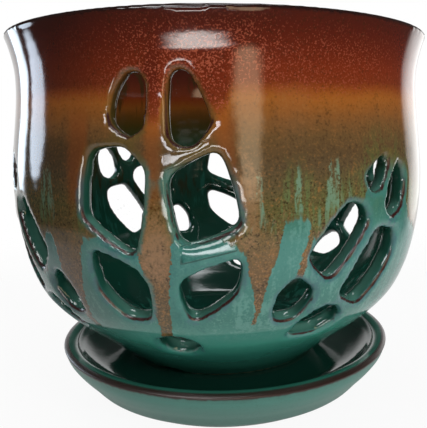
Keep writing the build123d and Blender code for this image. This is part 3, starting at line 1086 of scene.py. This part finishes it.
stageLook = {
    "floorColour": (0.88, 0.88, 0.88),
    "floorRoughness": 0.7,
    "floorRadius": 0.45,
    "floorFade": (0.4, 0.97),
    "floorSeenWhite": 0.93,
    "floorInGloss": 0.3,
    "surroundings": 0.36,
    "darkStudio": 0.05,
    # where the white backdrop begins in the gloss: away from the camera, and low
    "backdropBehind": (0.5, 0.7),
    "backdropLow": (0.36, 0.16),
    "aim": (0, 0, 0.09),
    # place and size in metres, then power in watts: a lamp lights the object and doesn't show in its gloss
    "lamps": {
        "keyLight": ((0.72, -0.92, 0.5), (0.35, 0.35), 4.4),
        "topLight": ((-0.02, -0.12, 0.95), (0.45, 0.3), 1.5),
        "backLight": ((-0.45, 0.95, 0.6), (0.4, 0.4), 2.4),
        "lowFill": ((0.3, -0.78, 0.06), (0.6, 0.1), 1.1),
    },
    # a panel only shows in the gloss: it also has the share of its radius that fades, and a tint
    "panels": {
        "leftPanel": ((-0.8, 0.24, 0.2), (0.22, 0.34), 1.1, 0.35, (0.74, 0.85, 1)),
        "leftSky": ((-0.67, 0.46, 0.16), (0.22, 0.38), 1.1, 0.4, (0.72, 0.86, 1)),
        "rightPanel": ((0.611, 0.531, 0.14), (0.52, 0.55), 0.75, 0.3, (1, 0.98, 0.95)),
        "lowFrontPanel": ((-0.12, -0.72, 0.008), (0.54, 0.12), 1.7, 0.6, (1, 0.97, 0.92)),
        "slimPanel": ((0.216, -0.86, 0.25), (0.27, 0.68), 1.6, 0.55, (1, 0.76, 0.48)),
        "browPanel": ((-0.3, -0.85, 0.46), (0.6, 0.2), 3.8, 0.5, (0.95, 0.97, 1)),
        "highPanel": ((-0.35, -0.45, 0.75), (0.5, 0.3), 3.4, 0.4, (1, 1, 1)),
        "overheadPanel": ((0.05, 0.14, 0.9), (0.46, 0.18), 1.5, 0.5, (0.95, 0.98, 1)),
        "smallTopPanel": ((-0.02, -0.32, 0.8), (0.36, 0.16), 1.4, 0.7, (1, 1, 1)),
    },
}

# The place and the lens are in millimetres, the angles in degrees
cameraLook = {"place": (0, -266.5, 116.4), "down": 8.66, "right": 3.15, "roll": 0.39, "lens": 48.14, "sensor": 36,
              "shift": -0.0904, "nearest": 10}


def whatLooks(tree):
    # the camera, and the gloss or clear part of a glaze
    path = addNode(tree, "ShaderNodeLightPath", "what looks").outputs
    return path["Is Camera Ray"], calc("MAXIMUM", path["Is Glossy Ray"], path["Is Transmission Ray"])


def makeFloor():
    selectOnly()
    bpy.ops.mesh.primitive_circle_add(vertices=96, radius=stageLook["floorRadius"], fill_type="NGON",
                                      location=(0, 0, 0))
    floor = bpy.context.object
    floor.name = "floor"
    paint = bpy.data.materials.new("paleFloor")
    paint.use_nodes = True
    tree = paint.node_tree
    surface = tree.nodes["Principled BSDF"]
    surface.inputs["Base Color"].default_value = (*stageLook["floorColour"], 1)
    surface.inputs["Roughness"].default_value = stageLook["floorRoughness"]
    white = addNode(tree, "ShaderNodeEmission", "seen white", {"Color": (1, 1, 1, 1), "Strength": 1})
    camera, mirrored = whatLooks(tree)
    seen = calc("MAXIMUM", times(camera, stageLook["floorSeenWhite"]), times(mirrored, stageLook["floorInGloss"]))
    mixed = addNode(tree, "ShaderNodeMixShader", "white where seen",
                    {0: seen, 1: surface.outputs[0], 2: white.outputs[0]})
    # the floor fades out before its edge, so that no horizon shows
    place = addNode(tree, "ShaderNodeTexCoord", "place on the floor")
    far = addNode(tree, "ShaderNodeVectorMath", "how far out", {0: place.outputs["Object"]}, operation="LENGTH")
    fade = softStep(far.outputs["Value"], *(stageLook["floorRadius"] * share for share in stageLook["floorFade"]))
    clear = addNode(tree, "ShaderNodeBsdfTransparent", "clear")
    faded = addNode(tree, "ShaderNodeMixShader", "fade out", {0: fade, 1: mixed.outputs[0], 2: clear.outputs[0]})
    tree.links.new(faded.outputs[0], tree.nodes["Material Output"].inputs["Surface"])
    floor.data.materials.append(paint)


def hangLamp(name, place, size, power, inGloss):
    lamp = bpy.data.lights.new(name, "AREA")
    lamp.shape = "ELLIPSE" if inGloss else "RECTANGLE"
    lamp.size, lamp.size_y = size
    lamp.energy = power
    holder = bpy.data.objects.new(name, lamp)
    bpy.context.scene.collection.objects.link(holder)
    facing = (Vector(stageLook["aim"]) - Vector(place)).to_track_quat("-Z", "Y")
    holder.matrix_world = Matrix.Translation(Vector(place)) @ facing.to_matrix().to_4x4()
    holder.visible_diffuse = not inGloss
    holder.visible_glossy = inGloss
    holder.visible_camera = False
    return lamp


def hangPanel(name, place, size, power, soft, tint):
    # the panel fades towards its rim
    lamp = hangLamp(name, place, size, power, True)
    lamp.color = tint
    lamp.use_nodes = True
    tree = lamp.node_tree
    place = addNode(tree, "ShaderNodeNewGeometry", "place on the panel").outputs["Parametric"]
    across = addNode(tree, "ShaderNodeVectorMath", "from the middle", {0: place, 1: (0.5, 0.5, 0)},
                     operation="SUBTRACT")
    far = addNode(tree, "ShaderNodeVectorMath", "how far", {0: across.outputs[0]}, operation="LENGTH")
    fade = softStep(far.outputs["Value"], 0.5, 0.5 - 0.5 * soft)
    tree.links.new(fade, tree.nodes["Emission"].inputs["Strength"])


def makeCamera():
    eye = bpy.data.cameras.new("photoCamera")
    eye.lens = cameraLook["lens"]
    eye.sensor_width = cameraLook["sensor"]
    eye.shift_x = cameraLook["shift"]
    eye.clip_start = cameraLook["nearest"] * mm
    holder = bpy.data.objects.new("photoCamera", eye)
    bpy.context.scene.collection.objects.link(holder)
    turn = Matrix.Rotation(-math.radians(cameraLook["right"]), 4, "Z")
    tilt = Matrix.Rotation(math.radians(90 - cameraLook["down"]), 4, "X")
    roll = Matrix.Rotation(-math.radians(cameraLook["roll"]), 4, "Z")
    holder.matrix_world = Matrix.Translation(Vector(cameraLook["place"]) * mm) @ turn @ tilt @ roll
    bpy.context.scene.camera = holder


def makeSurroundings():
    # white where the camera looks; in the gloss, the white backdrop behind the object and a dim studio in front
    world = bpy.data.worlds.new("studio")
    bpy.context.scene.world = world
    world.use_nodes = True
    tree = world.node_tree
    camera, mirrored = whatLooks(tree)
    place = addNode(tree, "ShaderNodeTexCoord", "direction")
    parts = addNode(tree, "ShaderNodeSeparateXYZ", "direction parts", {0: place.outputs["Generated"]}).outputs
    behind = times(softStep(parts["Y"], *stageLook["backdropBehind"]), softStep(parts["Z"], *stageLook["backdropLow"]))
    gloss = timesPlus(behind, 1 - stageLook["darkStudio"], stageLook["darkStudio"])
    strength = blendValue("gloss or light", mirrored, stageLook["surroundings"], gloss)
    background = tree.nodes["Background"].inputs
    background["Color"].default_value = (1, 1, 1, 1)
    tree.links.new(blendValue("camera sees white", camera, strength, 1), background["Strength"])


makeFloor()
for name, (place, size, power) in stageLook["lamps"].items():
    hangLamp(name, place, size, power, False)
for name, panel in stageLook["panels"].items():
    hangPanel(name, *panel)
makeCamera()
makeSurroundings()
bpy.context.scene.view_settings.view_transform = "Standard"
print("stage: floor, lamps and camera set")
